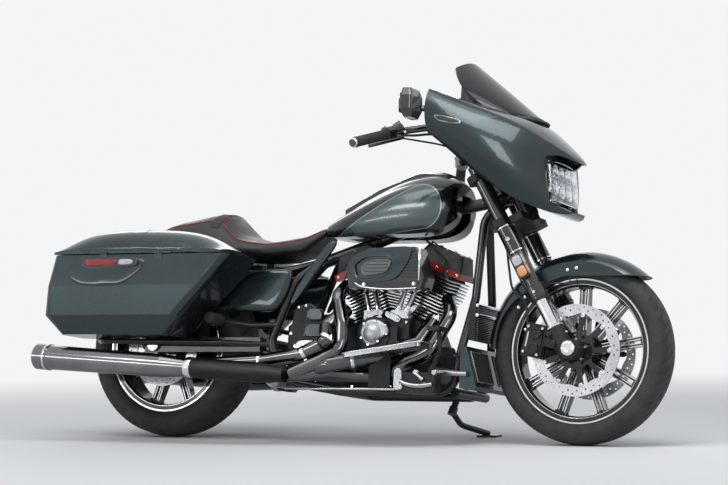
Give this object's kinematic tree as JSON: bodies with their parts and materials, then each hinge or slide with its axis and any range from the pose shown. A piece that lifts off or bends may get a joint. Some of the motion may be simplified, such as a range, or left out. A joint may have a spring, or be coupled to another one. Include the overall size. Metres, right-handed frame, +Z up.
{
  "type": "touring cruiser motorcycle",
  "caption": "Touring cruiser with a fork-mounted fairing, vee engine, hard saddlebags with opening lids and a side stand it leans on.",
  "frame": {"origin": "on the ground under the middle of the leaning motorcycle's box", "axes": "+X forward along the wheels' line, +Y to the rider's left, +Z up; the motorcycle leans to its left on the side stand"},
  "size_m": [2.417, 0.9597, 1.3357],
  "materials": {
    "body_paint": "dark metallic charcoal with a clear coat",
    "bright": "polished",
    "cast_black": "satin black engine coat",
    "dark_chrome": "black chrome",
    "disc_steel": "ground steel",
    "frame_black": "gloss black powder coat",
    "gloss_black": "gloss black moulded",
    "grey_cast": "satin grey cast",
    "lens_clear": "clear lens",
    "lens_red": "red lens",
    "red_band": "red powder coat",
    "rubber": "moulded",
    "seat_cover": "black cover with red piping",
    "smoked": "smoked screen",
    "trim_black": "black moulded",
    "tyre": "treaded rubber",
    "wheel_black": "gloss black with machined edges"
  },
  "bodies": {
    "root": {"frame": "frame_black", "swingarm": "frame_black", "crankcase": "cast_black", "cylinders": "cast_black", "rocker_bases": "red_band", "rocker_covers": "cast_black", "pushrod_tubes": "bright", "engine_covers": "grey_cast", "air_cleaner": "body_paint", "exhaust_pipes": "dark_chrome", "mufflers": "dark_chrome", "fuel_tank": "body_paint", "tank_console": "gloss_black", "seat": "seat_cover", "side_covers": "body_paint", "frame_trims": "body_paint", "rear_fender": "body_paint", "rear_fascia": "body_paint", "saddlebag_right": "body_paint", "saddlebag_left": "body_paint", "bag_lamps": "lens_red", "rear_shocks": "frame_black", "rear_axle": "bright", "rear_caliper": "cast_black", "drive_belt": "rubber", "chin_spoiler": "body_paint", "oil_cooler": "cast_black", "foot_controls": "cast_black", "board_mounts": "frame_black"},
    "steering": {"fork_outer_tubes": "gloss_black", "fork_sliders": "bright", "fork_feet": "cast_black", "fork_yokes": "cast_black", "fork_covers": "gloss_black", "front_fender": "body_paint", "front_calipers": "cast_black", "front_axle": "bright", "fairing_outer": "body_paint", "fairing_inner": "trim_black", "windshield": "smoked", "headlamp": "lens_clear", "handlebar": "gloss_black", "grips": "rubber", "hand_controls": "gloss_black", "mirrors": "gloss_black", "fork_lamps": "lens_clear"},
    "front_wheel": {"front_tyre": "tyre", "front_rim": "wheel_black", "front_discs": "disc_steel"},
    "rear_wheel": {"rear_tyre": "tyre", "rear_rim": "wheel_black", "rear_disc": "disc_steel", "rear_pulley": "wheel_black"},
    "side_stand": {"side_stand": "frame_black"},
    "lid_right": {"bag_lid_right": "body_paint"},
    "lid_left": {"bag_lid_left": "body_paint"},
    "fuel_door": {"fuel_door": "gloss_black"},
    "board_right": {"board_right": "rubber"},
    "board_left": {"board_left": "rubber"}
  },
  "joints": [
    {"name": "steering_turn", "type": "hinge", "parent": "root", "child": "steering", "pos_m": [0.67858, -0.04152, 0.77518], "axis": [-0.4384, 0.1095, 0.8921], "range_deg": [-30, 30]},
    {"name": "front_wheel_spin", "type": "hinge", "parent": "steering", "child": "front_wheel", "pos_m": [0.8895, -0.09782, 0.31662], "axis": [0, 0.9925, -0.1219], "continuous": true},
    {"name": "rear_wheel_spin", "type": "hinge", "parent": "root", "child": "rear_wheel", "pos_m": [-0.7305, -0.09677, 0.32516], "axis": [0, 0.9925, -0.1219], "continuous": true},
    {"name": "side_stand_fold", "type": "hinge", "parent": "root", "child": "side_stand", "pos_m": [0.3445, 0.01168, 0.10067], "axis": [0.1641, 0.4465, 0.8796], "range_deg": [0, 100]},
    {"name": "lid_right_open", "type": "hinge", "parent": "root", "child": "lid_right", "pos_m": [-0.7305, -0.46006, 0.68149], "axis": [1, 0, 0], "range_deg": [0, 75]},
    {"name": "lid_left_open", "type": "hinge", "parent": "root", "child": "lid_left", "pos_m": [-0.7305, 0.34192, 0.58302], "axis": [-1, 0, 0], "range_deg": [0, 75]},
    {"name": "fuel_door_open", "type": "hinge", "parent": "root", "child": "fuel_door", "pos_m": [0.2695, -0.02092, 0.94292], "axis": [0, -0.9925, 0.1219], "range_deg": [0, 100]},
    {"name": "board_right_fold", "type": "hinge", "parent": "root", "child": "board_right", "pos_m": [0.1305, -0.32341, 0.301], "axis": [-0.9895, -0.0176, -0.1433], "range_deg": [0, 40]},
    {"name": "board_left_fold", "type": "hinge", "parent": "root", "child": "board_left", "pos_m": [0.1305, 0.11728, 0.24689], "axis": [0.9895, 0.0176, 0.1433], "range_deg": [0, 40]}
  ]
}
